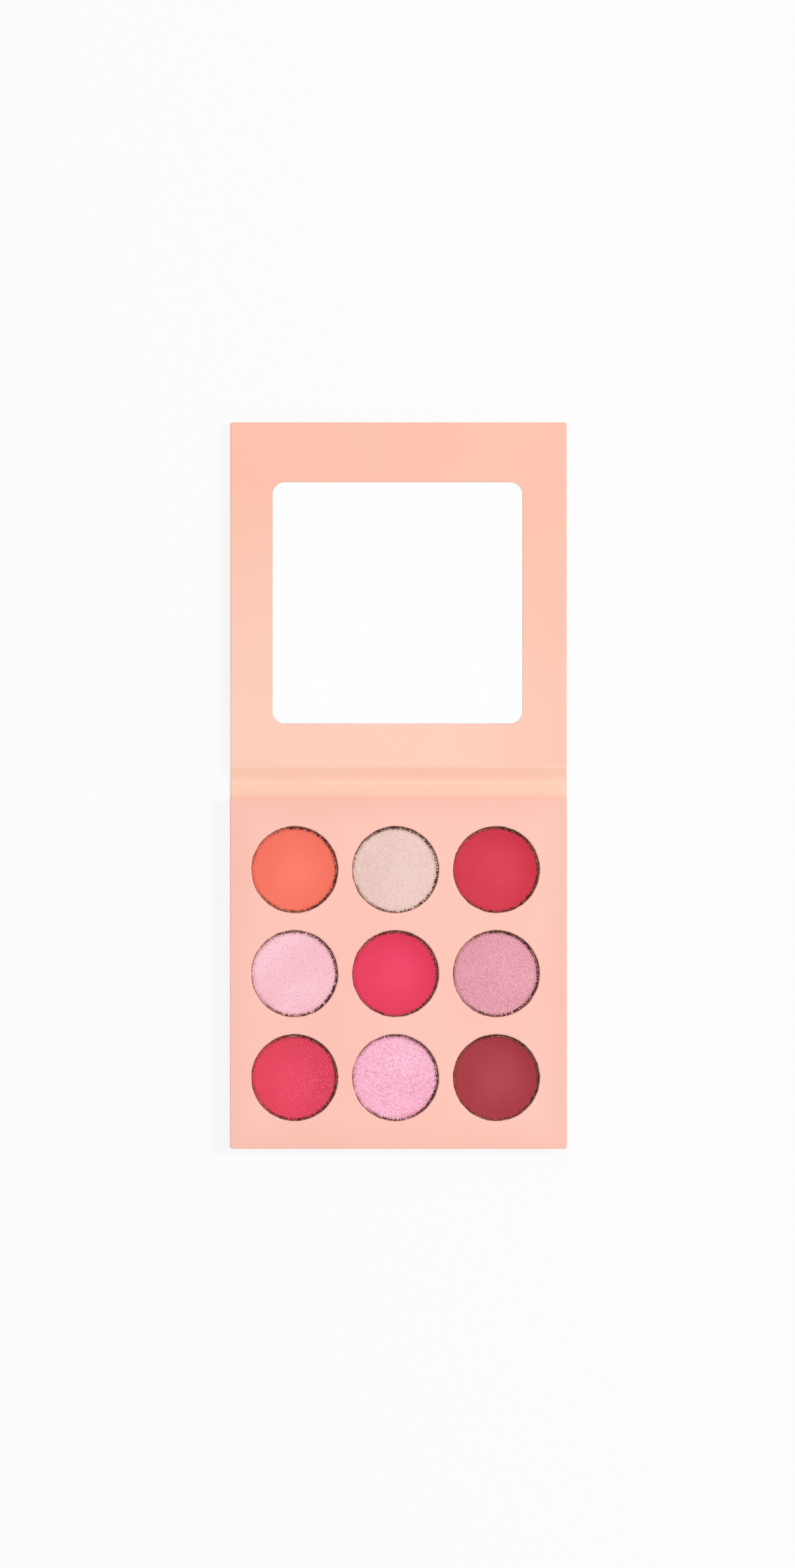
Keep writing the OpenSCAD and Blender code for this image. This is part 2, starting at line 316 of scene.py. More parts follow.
def metal_material(name, dark, light, rough):
    """Plain plated metal with fine rubbing marks."""
    made, tree, shader, coords = new_material(name, Metallic=1.0)
    marks = noise_of(tree, coords, 0.4 * MM, 6.0, 0.6, (1.0, 8.0, 1.0))
    tree.links.new(mixed(tree, marks, linear(dark), linear(light)), shader.inputs["Base Color"])
    tree.links.new(spread(tree, marks, 0.2, 0.8, rough, rough + 0.15), shader.inputs["Roughness"])
    tree.links.new(bumped(tree, marks, 0.01 * MM, 0.3), shader.inputs["Normal"])
    return made


def mirror_material(name):
    """Silvered glass or its silvering, clean, with the faintest haze."""
    made, tree, shader, coords = new_material(name, Metallic=1.0)
    haze = noise_of(tree, coords, 22 * MM, 3.0)
    tree.links.new(mixed(tree, haze, linear((254, 254, 254)), linear((251, 252, 252))),
                   shader.inputs["Base Color"])
    tree.links.new(spread(tree, haze, 0.3, 0.7, 0.008, 0.03), shader.inputs["Roughness"])
    return made


def film_material(name, low, high):
    """Adhesive film or dried glue, faintly mottled."""
    made, tree, shader, coords = new_material(name, Roughness=0.5)
    mottle = noise_of(tree, coords, 1.5 * MM, 4.0)
    tree.links.new(mixed(tree, mottle, linear(low), linear(high)), shader.inputs["Base Color"])
    tree.links.new(bumped(tree, mottle, 0.03 * MM, 0.4), shader.inputs["Normal"])
    return made


def specks(tree, coords, size, share, soft=0.16):
    """Separate specks about size metres apart, of which only a share is kept."""
    cells = node(tree, "ShaderNodeTexVoronoi", {"Vector": coords, "Scale": 1 / size})
    dots = spread(tree, cells.outputs["Distance"], 0.34 + soft, 0.34 - soft)
    chance = node(tree, "ShaderNodeSeparateColor", {0: cells.outputs["Color"]}).outputs[0]
    return product(tree, dots, spread(tree, chance, 1 - share - 0.03, 1 - share + 0.03))


# For each finish: roughness, metallic, tone drift, grain size, grain contrast, light specks
# (size, share, strength), dark specks (the same), and how deep the grain is.
FINISHES = {
    "matte": (0.95, 0.0, 0.8, 0.45 * MM, 0.22, (0.30 * MM, 0.15, 0.25), (0.30 * MM, 0.18, 0.25),
              0.03 * MM),
    "satin": (0.65, 0.05, 0.5, 0.40 * MM, 0.45, (0.33 * MM, 0.30, 0.40),
              (0.50 * MM, 0.20, 0.70), 0.06 * MM),
    "shimmer": (0.55, 0.10, 0.3, 0.38 * MM, 0.50, (0.33 * MM, 0.35, 0.40),
                (0.38 * MM, 0.18, 0.45), 0.06 * MM),
    "frost": (0.55, 0.10, 0.45, 0.30 * MM, 0.50, (0.32 * MM, 0.45, 0.55),
              (0.32 * MM, 0.50, 0.70), 0.07 * MM),
    "glitter": (0.50, 0.04, 0.3, 0.55 * MM, 0.50, (0.44 * MM, 0.40, 0.50),
                (0.46 * MM, 0.18, 0.65), 0.10 * MM),
    "leathery": (0.60, 0.0, 0.3, 0.46 * MM, 0.75, (0.42 * MM, 0.40, 0.40),
                 (0.42 * MM, 0.55, 0.70), 0.15 * MM),
}


def powder_material(name, base, light, dark, finish, centre):
    """Pressed powder: a drifting tone, painted shade with grime at its rim, grains, and specks for
    its finish.

    Matte and leathery ones are paler at their middle, a painted sheen, and deeper towards the gap
    side, painted shade.
    A leathery one is smooth on its left and grained on its right."""
    rough, metallic, drift_share, grain, contrast, lights, darks, depth = FINISHES[finish]
    made, tree, shader, coords = new_material(name, Metallic=metallic, Roughness=rough)
    shader.inputs["Specular IOR Level"].default_value = 0.2 if finish == "matte" else 0.45
    low = [b + (d - b) * 0.5 * drift_share for b, d in zip(base, dark)]
    high = [b + (h - b) * 0.5 * drift_share for b, h in zip(base, light)]
    drift = spread(tree, noise_of(tree, coords, 15 * MM, 2.0, 0.4), 0.30, 0.70)
    colour = mixed(tree, drift, linear(low), linear(high))
    away = distance_from(tree, coords, centre)
    # painted shade with handling grime round the cake's edge, patchy and deepest on the gap side
    rim = spread(tree, away, 11.7 * MM, 12.9 * MM)
    gap_side = node(tree, "ShaderNodeVectorMath", {0: coords, 1: GAP_SIDE},
                    operation="DOT_PRODUCT")
    middle = centre.x * GAP_SIDE[0] + centre.y * GAP_SIDE[1]
    # how much of the painted shade falls on each side, most towards the gap
    shade_leaning = spread(tree, gap_side.outputs["Value"], middle - 8 * MM, middle + 11 * MM, 0.35, 1.0)
    if finish in ("matte", "leathery"):
        low_spot = distance_from(tree, coords, (centre.x, centre.y - 1.5 * MM))
        # painted sheen: a paler spot just below the middle
        sheen_spot = spread(tree, low_spot, 9 * MM, 2 * MM, 0.0, 0.4)
        colour = mixed(tree, sheen_spot, colour, linear([min(255, b + PAINTED_SHEEN) for b in base]))
        # painted shade, deeper towards the rim on the gap side
        edge_shade = product(tree, spread(tree, away, 4 * MM, 11 * MM), shade_leaning)
        colour = mixed(tree, edge_shade, colour, linear([b - PAINTED_EDGE_SHADE for b in base]))
    elif finish == "glitter":
        # painted glitter highlight, paler towards the back
        sparkle_spot = distance_from(tree, coords, (centre.x + 2 * MM, centre.y + 6 * MM))
        colour = mixed(tree, spread(tree, sparkle_spot, 14 * MM, 3 * MM, 0.0, 0.7), colour,
                       linear([min(255, b + PAINTED_SPARKLE) for b in base]))
    patchy = spread(tree, noise_of(tree, coords, 1.8 * MM, 3.0), 0.35, 0.65, 0.35, 0.90)
    rim = product(tree, product(tree, rim, patchy), shade_leaning)
    # one brown tone for the rim's grime and its painted shade
    soil_and_shade_tone = [0.5 * d + 0.5 * brown for d, brown in zip(dark, SOIL_AND_SHADE)]
    colour = mixed(tree, rim, colour, linear(soil_and_shade_tone))
    grains = noise_of(tree, coords, grain, 3.0, 0.7)
    if finish == "leathery":
        across = along(tree, coords, "X")
        lean = spread(tree, across, centre.x - 6 * MM, centre.x + 10 * MM, 0.12, 1.0)
        contrast = product(tree, lean, contrast)
        lights = (lights[0], lights[1], product(tree, lean, lights[2]))
        darks = (darks[0], darks[1], product(tree, lean, darks[2]))
    paler = product(tree, spread(tree, grains, 0.50, 0.68), contrast)
    deeper = product(tree, spread(tree, grains, 0.50, 0.32), contrast)
    colour = mixed(tree, paler, colour, linear(light))
    colour = mixed(tree, deeper, colour, linear(dark))
    size, share, strength = lights
    bright = specks(tree, coords, size, share)
    colour = mixed(tree, product(tree, bright, strength), colour, linear(light))
    size, share, strength = darks
    moved = node(tree, "ShaderNodeMapping", {"Vector": coords, "Location": (0.31, 0.17, 0.05)})
    dim = specks(tree, moved.outputs[0], size, share)
    colour = mixed(tree, product(tree, dim, strength), colour, linear(dark))
    tree.links.new(colour, shader.inputs["Base Color"])
    height = math_of(tree, "SUBTRACT", math_of(tree, "ADD", grains, bright), dim)
    tree.links.new(bumped(tree, height, depth * 0.5, 0.8), shader.inputs["Normal"])
    return made


# ---------------------------------------------------------------- mesh helpers

def uneven(x, y, z, size, seed):
    """Smooth noise from -1 to 1, about size metres across."""
    return noise.noise(Vector((x, y, z)) / size + Vector((seed * 7.3, seed * 3.1, 0)))


class Shell:
    """Gathers rings of points and the faces between them, then makes one object."""

    def __init__(self):
        self.points = []
        self.faces = []

    def ring(self, points):
        """Adds points and gives back their numbers."""
        first = len(self.points)
        self.points.extend(points)
        return list(range(first, len(self.points)))

    def join(self, first, second, closed=True):
        """Quads between two rings of the same length."""
        count = len(first)
        for i in range(count if closed else count - 1):
            j = (i + 1) % count
            self.faces.append((first[i], first[j], second[j], second[i]))

    def make(self, name, material, thickness=0.0, sharp=35, values=None):
        """The object, thickened inwards if asked, with its doubled points merged.

        Values are a name and one number for each point, kept as an attribute."""
        mesh = bpy.data.meshes.new(name)
        mesh.from_pydata([tuple(p) for p in self.points], [], self.faces)
        if values:
            mesh.attributes.new(values[0], "FLOAT", "POINT").data.foreach_set("value", values[1])
        work = bmesh.new()
        work.from_mesh(mesh)
        bmesh.ops.remove_doubles(work, verts=work.verts, dist=0.0005 * MM)
        bmesh.ops.recalc_face_normals(work, faces=work.faces)
        work.to_mesh(mesh)
        work.free()
        made = bpy.data.objects.new(name, mesh)
        bpy.context.collection.objects.link(made)
        if thickness:
            solid = made.modifiers.new("thickness", "SOLIDIFY")
            solid.thickness = thickness
            solid.offset = -1
            solid.use_even_offset = True
            with bpy.context.temp_override(object=made):
                bpy.ops.object.modifier_apply(modifier=solid.name)
        made.data.shade_smooth()
        made.data.set_sharp_from_angle(angle=math.radians(sharp))
        made.data.materials.append(material)
        return made


def rolled(radius, steps=6):
    """(distance in from an edge, distance down from its face) round a quarter turn."""
    return [(radius * (1 - math.sin(a)), radius * (1 - math.cos(a)))
            for a in np.linspace(0, math.pi / 2, steps + 1)]


def corner_at(y):
    """The outline's corner radius at one end of a leaf."""
    return CORNER if abs(y) > HALF_W else HINGE_CORNER


def on_outline(x, y, rect, corner=None):
    """Where a square outline's point lands once its corners are round, and the normal."""
    x0, x1, y0, y1 = rect
    corner = corner or corner_at(y)
    centre = Vector((min(max(x, x0 + corner), x1 - corner), min(max(y, y0 + corner), y1 - corner)))
    normal = (Vector((x, y)) - centre).normalized()
    return centre + normal * corner, normal


def stations(start, end, step, fine_start, fine_end):
    """Places from start to end, closer together near an end that is a corner."""
    length = end - start
    places = list(np.linspace(0, 1, max(2, round(abs(length) / step)) + 1))
    near = [d * CORNER / abs(length) for d in FINE_PLACES]
    clear = near[-1] * 1.2
    if fine_start:
        places = [0.0] + near + [p for p in places if p > clear]
    if fine_end:
        places = [p for p in places if p < 1 - clear] + [1 - d for d in reversed(near)] + [1.0]
    return [start] + [start + length * p for p in places[1:-1]] + [end]


def drawn_in(value, low, high):
    """A place between two edges, moved as if both edges were drawn in by their roll."""
    return low + EDGE_ROLL + (value - low) * (high - low - 2 * EDGE_ROLL) / (high - low)


def round_walk(xs, ys):
    """The points round a rectangle, once round from its low corner."""
    return ([(x, ys[0]) for x in xs[:-1]] + [(xs[-1], y) for y in ys[:-1]]
            + [(x, ys[-1]) for x in reversed(xs[1:])] + [(xs[0], y) for y in reversed(ys[1:])])


def board_cover(name, material, rect, z_face, z_rim, x_cuts, y_cuts, holes, hole_corner,
                hole_roll, hole_depth, step, thickness, fray=0.0):
    """Paper over a board: a face with holes, rolled edges and four sides.

    Each cell between the cuts holds one hole, given as a rectangle with round corners.
    Its edge wanders by up to fray. The attribute "lip" is 1 at a hole's edge, 0 on the face."""
    shell = Shell()
    lips = []
    x_lists = [stations(a, b, step, i == 0, i == len(x_cuts) - 2)
               for i, (a, b) in enumerate(zip(x_cuts, x_cuts[1:]))]
    y_lists = [stations(a, b, step, i == 0, i == len(y_cuts) - 2)
               for i, (a, b) in enumerate(zip(y_cuts, y_cuts[1:]))]

    def face_point(x, y):
        if x in (rect[0], rect[1]) or y in (rect[2], rect[3]):
            place, normal = on_outline(x, y, rect)
            return place - normal * EDGE_ROLL
        return Vector((x if x in x_cuts else drawn_in(x, rect[0], rect[1]),
                       y if y in y_cuts else drawn_in(y, rect[2], rect[3])))

    for row, ys in enumerate(y_lists):
        for column, xs in enumerate(x_lists):
            hole = holes[row][column]
            walk = round_walk(xs, ys)
            edge = []
            for x, y in walk:
                u = (x - xs[0]) / (xs[-1] - xs[0])
                v = (y - ys[0]) / (ys[-1] - ys[0])
                p, n = on_outline(hole[0] + u * (hole[1] - hole[0]),
                                  hole[2] + v * (hole[3] - hole[2]), hole, hole_corner)
                wander = 0.6 * uneven(p.x, p.y, 0, 0.9 * MM, 3)
                wander += 0.5 * uneven(p.x, p.y, 0, 2.6 * MM, 4)
                edge.append((p + n * fray * wander, n))
            last = shell.ring([(*p, z_face - hole_depth) for p, n in edge])
            lips += [1.0] * len(edge)
            for out, down in reversed(rolled(hole_roll)):
                ring = shell.ring([(*(p + n * out), z_face - down) for p, n in edge])
                shell.join(last, ring)
                lips += [1 - out / hole_roll] * len(edge)
                last = ring
            start = [p + n * hole_roll for p, n in edge]
            finish = [face_point(x, y) for x, y in walk]
            for share in FACE_SHARES:
                ring = shell.ring([(*a.lerp(b, share), z_face) for a, b in zip(start, finish)])
                shell.join(last, ring)
                lips += [0.0] * len(edge)
                last = ring

    whole_x = [x for i, xs in enumerate(x_lists) for x in (xs if i == 0 else xs[1:])]
    whole_y = [y for i, ys in enumerate(y_lists) for y in (ys if i == 0 else ys[1:])]
    outline = [on_outline(x, y, rect) for x, y in round_walk(whole_x, whole_y)]
    last = None
    for inset, down in rolled(EDGE_ROLL) + [(0.0, z_face - z_rim)]:
        ring = shell.ring([(*(p - n * inset), z_face - down) for p, n in outline])
        if last:
            shell.join(last, ring)
        lips += [0.0] * len(outline)
        last = ring
    return shell.make(name, material, thickness, values=("lip", lips))


def folded_cover(name, material, near, far, height, thickness):
    """Outer paper under a board, rolled up round its two sides and its far end."""
    shell = Shell()
    low, high = min(near, far), max(near, far)
    rect = (-HALF_W, HALF_W, low - (CORNER * 2 if near == low else 0),
            high + (CORNER * 2 if near == high else 0))
    xs = stations(-HALF_W, HALF_W, 3 * MM, True, True)
    ys = stations(near, far, 3 * MM, False, True)
    walk = ([(-HALF_W, y) for y in ys[:-1]] + [(x, far) for x in xs]
            + [(HALF_W, y) for y in reversed(ys[:-1])])
    outline = [on_outline(x, y, rect) for x, y in walk]
    last = None
    for inset, up in rolled(EDGE_ROLL) + [(0.0, height)]:
        ring = shell.ring([(*(p - n * inset), up) for p, n in outline])
        if last:
            shell.join(last, ring, closed=False)
        else:
            middle = shell.ring([(*(p - n * (EDGE_ROLL + 0.5 * MM)), 0.0) for p, n in outline])
            shell.join(middle, ring, closed=False)
            shell.faces.append(tuple(middle))
        last = ring
    return shell.make(name, material, thickness)


def filleted(points, radius, steps=6):
    """An open line with every inner corner rounded."""
    line = [Vector(points[0])]
    for before, corner, after in zip(points, points[1:], points[2:]):
        before, corner, after = Vector(before), Vector(corner), Vector(after)
        reach = min(radius, (before - corner).length * 0.48, (after - corner).length * 0.48)
        a = corner + (before - corner).normalized() * reach
        b = corner + (after - corner).normalized() * reach
        for t in np.linspace(0, 1, steps + 1):
            line.append(a.lerp(corner, t).lerp(corner.lerp(b, t), t))
    line.append(Vector(points[-1]))
    return line


def resampled(line, step):
    """The same line with points at most step apart."""
    made = [line[0]]
    for a, b in zip(line, line[1:]):
        pieces = max(1, math.ceil((b - a).length / step))
        made.extend(a.lerp(b, (i + 1) / pieces) for i in range(pieces) if (b - a).length > 1e-9)
    return made


def clipped(line, low, high):
    """The stretch of a line between two places along its first coordinate."""
    kept = []
    for a, b in zip(line, line[1:]):
        for place in (low, high):
            if (a.x - place) * (b.x - place) < 0:
                kept.append(a.lerp(b, (place - a.x) / (b.x - a.x)))
        if low - 1e-9 <= b.x <= high + 1e-9:
            kept.append(b)
    if low - 1e-9 <= line[0].x <= high + 1e-9:
        kept.insert(0, line[0])
    return kept


def paper_strip(name, material, line, thickness, half_width, foot=None, columns=24):
    """A strip of paper across the palette that follows a line of (y, z) points.

    Where a foot is given, as Z for each Y, its two ends are turned down to it."""
    shell = Shell()
    tangents = [(b - a).normalized() for a, b in zip(line, line[1:])]
    normals = []
    for i in range(len(line)):
        t = tangents[max(i - 1, 0)] + tangents[min(i, len(tangents) - 1)]
        normals.append(Vector((-t.y, t.x)).normalized())
    above = [p + n * thickness / 2 for p, n in zip(line, normals)]
    below = [p - n * thickness / 2 for p, n in zip(line, normals)]
    section = turned = above + below[::-1]
    places = [(x, False) for x in np.linspace(-half_width, half_width, columns + 1)]
    if foot:
        turned = above + [Vector((p.x, min(p.y, foot(p.x)))) for p in below[::-1]]
        inner = half_width - thickness
        bend = inner - 0.01 * MM
        places = ([(-half_width, True), (-inner, True)]
                  + [(x, False) for x in np.linspace(-bend, bend, columns)]
                  + [(inner, True), (half_width, True)])
    last = first = None
    for x, is_turned in places:
        ring = shell.ring([(x, p.x, p.y) for p in (turned if is_turned else section)])
        if last:
            shell.join(last, ring)
        else:
            first = ring
        last = ring
    half = len(line)
    for end in (first, last):
        for i in range(half - 1):
            shell.faces.append((end[i], end[i + 1], end[-2 - i], end[-1 - i]))
    return shell.make(name, material, 0.0)


def placed(piece, body, slot, *nodes):
    """Rides a piece on its body, in the CAD nodes' stead. The slot is not used."""
    if nodes:
        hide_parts(*nodes)
    if body:
        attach(piece, body)
    return piece


# ---------------------------------------------------------------- papers

WARM, LIGHT = (252, 196, 178), (253, 203, 187)
tray_paper = paper_material("tray_paper", (252, 194, 180), (253, 200, 186),
                            border=(tray_lo.y, TRAY_BACK))
lid_paper = paper_material("lid_paper", (252, 208, 188), (252, 192, 170),
                           FRAME_NEAR + 20 * MM, frame_hi.y - 20 * MM)
spine_paper = paper_material("spine_paper", (253, 206, 184), (254, 210, 187))
outer_paper = paper_material("outer_paper", WARM, LIGHT)


def tray_cover():
    """The tray's printed paper, with its nine die-cut wells."""
    centres = []
    for row in (2, 1, 0):
        centres.append([middle_of(f"pan_{row * 3 + column + 1}") for column in range(3)])
    radius = well_radius() - WELL_PAPER
    holes = [[(c.x - radius, c.x + radius, c.y - radius, c.y + radius) for c in line]
             for line in centres]
    columns = [c.x for c in centres[0]]
    rows = [line[0].y for line in centres]
    x_cuts = [-HALF_W, (columns[0] + columns[1]) / 2, (columns[1] + columns[2]) / 2, HALF_W]
    y_cuts = [tray_lo.y, (rows[0] + rows[1]) / 2, (rows[1] + rows[2]) / 2, TRAY_BACK]
    rect = (-HALF_W, HALF_W, tray_lo.y, TRAY_BACK)
    return board_cover("tray_cover", tray_paper, rect, tray_hi.z, tray_lo.z, x_cuts, y_cuts,
                       holes, radius, WELL_ROLL, PAPER_INTO_WELL, 0.5 * MM, PAPER, WELL_FRAY)


def lid_frame_cover():
    """The lid frame's printed paper, turned down into the mirror's window."""
    window = (glass_lo.x - PROUD, glass_hi.x + PROUD, glass_lo.y - PROUD, glass_hi.y + PROUD)
    rect = (-HALF_W, HALF_W, FRAME_NEAR, frame_hi.y)
    return board_cover("lid_frame_cover", lid_paper, rect, frame_hi.z, frame_lo.z,
                       [-HALF_W, HALF_W], [FRAME_NEAR, frame_hi.y], [[window]], 4 * MM,
                       WINDOW_ROLL, frame_hi.z - glass_lo.z, 0.7 * MM, LINING)


def middle_of(name):
    low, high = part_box(name)
    return (low + high) / 2


def well_radius():
    """Half a well's width, measured at the wall points of the board nearest the first pan."""
    centre = middle_of("pan_1")
    wall = [math.hypot(v.co.x - centre.x, v.co.y - centre.y)
            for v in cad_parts["tray_lower_board"].data.vertices]
    return min(r for r in wall if r > PAN_RADIUS)


placed(tray_cover(), "base", "printed_paper", "tray_wrap")
placed(lid_frame_cover(), "lid", "printed_paper", "frame_wrap")
placed(folded_cover("base_cover", outer_paper, TRAY_BACK, base_lo.y, base_hi.z, PAPER),
       "base", "printed_paper", "base_wrap")
placed(folded_cover("lid_cover", outer_paper, LID_NEAR, lid_hi.y, lid_hi.z, PAPER),
       "lid", "printed_paper", "lid_wrap")

# ---------------------------------------------------------------- spine and folds

EDGE_Z = spine_lining_top - LINING / 2    # middle of the lining over the spine card's edge
CROWN = 0.10 * MM                          # how far it swells over the card's middle
CREASE_Z = EDGE_Z - 0.12 * MM              # and how low it lies beside the tray
INNER_HALF_W = HALF_W - PAPER
LINER_FILLET = 1.6 * MM
FOLD_STEP = 0.08 * MM                      # between points along a paper that folds

tray_side = TRAY_BACK + LINING / 2
spine_middle = (SPINE_NEAR + SPINE_FAR) / 2
frame_top = frame_hi.z - LINING / 2
liner_points = [
    (tray_side, lining_top), (tray_side, CREASE_Z), (SPINE_NEAR + 0.2 * MM, EDGE_Z),
    (spine_middle, EDGE_Z + CROWN), (SPINE_FAR - 0.5 * MM, EDGE_Z + 0.02 * MM),
    (FRAME_NEAR - 0.25 * MM, frame_top + PROUD / 3),
    (FRAME_NEAR + 1.2 * MM, frame_top + PROUD / 3),
]
liner_line = resampled(filleted(liner_points, LINER_FILLET, 12), FOLD_STEP)


def liner_foot(y):
    """What the lining's turned-down ends stand on."""
    if y > LID_NEAR:
        return lining_top
    return spine_hi.z if SPINE_NEAR <= y <= SPINE_FAR else PAPER


outer_line = [Vector((TRAY_BACK, PAPER / 2)), Vector((LID_NEAR, PAPER / 2))]
outer_line = resampled(outer_line, FOLD_STEP)

for stem, low, high, liner_high, bodies, joint_name in (
    ("tray_fold", TRAY_BACK, SPINE_NEAR, SPINE_NEAR, ("base", "spine"), "spine_fold"),
    ("lid_fold", SPINE_FAR, LID_NEAR, FRAME_NEAR + EDGE_ROLL, ("spine", "lid"), "lid_fold"),
):
    liner = paper_strip(f"{stem}_liner", spine_paper, clipped(liner_line, low, liner_high),
                        LINING, INNER_HALF_W, liner_foot)
    outer = paper_strip(f"{stem}_outer", outer_paper, clipped(outer_line, low, high),
                        PAPER, HALF_W)
    placed(liner, None, "printed_paper", f"{stem}_lining")
    placed(outer, None, "printed_paper", f"{stem}_paper")
    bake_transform(outer)
    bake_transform(liner)

spine_liner = paper_strip("spine_liner", spine_paper, clipped(liner_line, SPINE_NEAR, SPINE_FAR),
                          LINING, INNER_HALF_W, liner_foot)
placed(spine_liner, "spine", "printed_paper", "spine_lining")


def spine_outer():
    """The spine's outer paper, rolled up over both ends of the card."""
    shell = Shell()
    profile = [(0.0, 0.0), (HALF_W - EDGE_ROLL, 0.0)]
    profile += [(HALF_W - inset, up) for inset, up in rolled(EDGE_ROLL)]
    profile += [(HALF_W, spine_hi.z)]
    profile = [(-x, z) for x, z in reversed(profile)] + profile[1:]
    last = None
    for y in np.linspace(SPINE_NEAR, SPINE_FAR, 13):
        ring = shell.ring([(x, y, z) for x, z in profile])
        if last:
            shell.join(last, ring, closed=False)
        last = ring
    return shell.make("spine_outer", outer_paper, PAPER)


placed(spine_outer(), "spine", "printed_paper", "spine_wrap")

# ---------------------------------------------------------------- pans and powders


def pan_mesh(name, material, centre, seed):
    """A drawn tinplate cup: chamfered foot, thin wall and a rolled rim with dents."""
    low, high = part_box(name)
    radius = (high.x - low.x) / 2
    height = high.z - low.z
    bead_z = height - BEAD
    bead_x = radius - BEAD
    outer = [(0.0, 0.0), (radius * 0.5, 0.0), (radius - PAN_FOOT, 0.0)]
    outer += [(radius - PAN_FOOT * (1 - math.sin(a)), PAN_FOOT * (1 - math.cos(a)))
              for a in np.linspace(0.3, math.pi / 2, 5)]
    bead = [(bead_x + BEAD * math.cos(a), bead_z + BEAD * math.sin(a))
            for a in np.linspace(-0.2, math.pi + 0.5, 16)]
    inner = [(radius - PAN_WALL, bead_z - 0.3 * MM), (radius - PAN_WALL, PAN_FOOT),
             (radius - PAN_FOOT, PAN_WALL), (0.0, PAN_WALL)]
    profile = outer + bead + inner
    shell = Shell()
    turns = 144
    last = None
    for r, z in profile:
        ring = []
        for i in range(turns):
            a = i * math.tau / turns
            wobble = uneven(math.cos(a) * 8 * MM, math.sin(a) * 8 * MM, z, 3.5 * MM, seed)
            dent = 0.035 * MM * wobble * z / height * r / radius
            ring.append((centre.x + (r + dent) * math.cos(a), centre.y + (r + dent) * math.sin(a),
                         low.z + z))
        ring = shell.ring(ring)
        if last:
            shell.join(last, ring)
        last = ring
    return shell.make(name + "_tin", material, 0.0, 50)


def disc_place(u, v):
    """A point of the square from -1 to 1 carried onto the unit disc, evenly spread."""
    if u == 0 and v == 0:
        return 0.0, 0.0
    if abs(u) > abs(v):
        radius, angle = u, math.pi / 4 * v / u
    else:
        radius, angle = v, math.pi / 2 - math.pi / 4 * u / v
    return radius * math.cos(angle), radius * math.sin(angle)


# For each finish: cells across, dome, slow waves, grain height and grain size.
RELIEF = {
    "matte": (110, 0.06 * MM, 0.012 * MM, 0.006 * MM, 0.5 * MM),
    "satin": (130, 0.05 * MM, 0.020 * MM, 0.014 * MM, 0.6 * MM),
    "shimmer": (130, 0.05 * MM, 0.020 * MM, 0.018 * MM, 0.5 * MM),
    "frost": (150, 0.05 * MM, 0.020 * MM, 0.030 * MM, 0.5 * MM),
    "glitter": (150, 0.04 * MM, 0.030 * MM, 0.045 * MM, 0.6 * MM),
    "leathery": (160, 0.05 * MM, 0.015 * MM, 0.045 * MM, 0.55 * MM),
}


def ragged_reach(angle, bead_x, seed, gap_angle, worn):
    """How far out a powder lies on the bead at an angle.

    It reaches furthest where the pan touches the well and least across the gap, and
    its edge is toothed, most of all in between."""
    x, y = math.cos(angle), math.sin(angle)
    teeth = uneven(x * 13 * MM, y * 13 * MM, 0, 0.40 * MM, seed)
    chips = uneven(x * 13 * MM, y * 13 * MM, 4, 1.5 * MM, seed + 5)
    slow = uneven(x * 13 * MM, y * 13 * MM, 8, 8 * MM, seed + 9)
    facing = math.cos(angle - gap_angle)
    cover = -0.40 - worn - 0.60 * facing + 0.8 * slow
    cover -= 1.1 * max(0.0, math.cos(angle - WORN_ANGLE)) ** 12
    toothed = max(0.4, 1.5 - 0.8 * abs(facing) + 0.8 * slow)
    reach = cover + 3.8 * toothed * teeth + 0.8 * chips
    return bead_x + BEAD * max(-1.0, min(SPILL, reach))


def powder_mesh(name, material, centre, rim_z, finish, seed, gap_angle):
    """A pressed cake with a faint dome and its finish's grain, spread over the bead."""
    cells, dome, waves, grain, grain_size = RELIEF[finish]
    bead_x = PAN_RADIUS - BEAD
    mouth = bead_x - BEAD * 1.15
    shell = Shell()
    steps = np.linspace(-1, 1, cells + 1)
    grid = []
    for v in steps:
        row = []
        for u in steps:
            x, y = disc_place(u, v)
            share = math.hypot(x, y)
            angle = math.atan2(y, x)
            reach = ragged_reach(angle, bead_x, seed, gap_angle, WORN_AWAY.get(finish, 0.0))
            inner = 1 - 8 / cells
            if share < inner:
                r = mouth * share / inner
            else:
                r = mouth + (reach - mouth) * (share - inner) / (1 - inner)
            px, py = r * math.cos(angle), r * math.sin(angle)
            rough = uneven(px, py, 0, grain_size, seed)
            rough += 0.5 * uneven(px, py, 9, grain_size / 2, seed)
            if finish == "leathery":
                rough *= 0.25 + 1.5 * max(0.0, min(1.0, 0.5 + px / (12 * MM)))
            z = rim_z - 0.02 * MM + dome * (1 - (r / mouth) ** 2)
            z += waves * uneven(px, py, 3, 5 * MM, seed)
            across = max(-1.0, min(1.0, (r - bead_x) / BEAD))
            over_bead = rim_z - BEAD + BEAD * math.sqrt(1 - across ** 2) + POWDER_COAT
            over_bead = max(over_bead, rim_z - POWDER_FILL)
            if r > mouth:
                z = over_bead
            z += grain * rough
            row.append((centre.x + px, centre.y + py, z))
        grid.append(shell.ring(row))
    for a, b in zip(grid, grid[1:]):
        shell.join(a, b, closed=False)
    border = (grid[0][:-1] + [row[-1] for row in grid[:-1]] + grid[-1][:0:-1]
              + [row[0] for row in grid[:0:-1]])
    last = border
    for depth, inset in ((POWDER_COAT * 1.6, 0.0), (2 * BEAD, 0.7 * MM)):
        skirt = []
        for i in border:
            x, y, z = shell.points[i]
            out = Vector((x - centre.x, y - centre.y))
            out -= out.normalized() * inset
            skirt.append((centre.x + out.x, centre.y + out.y, z - depth))
        ring = shell.ring(skirt)
        shell.join(last, ring)
        last = ring
    shell.faces.append(tuple(last))
    return shell.make("powder_" + name, material, 0.0, 60)


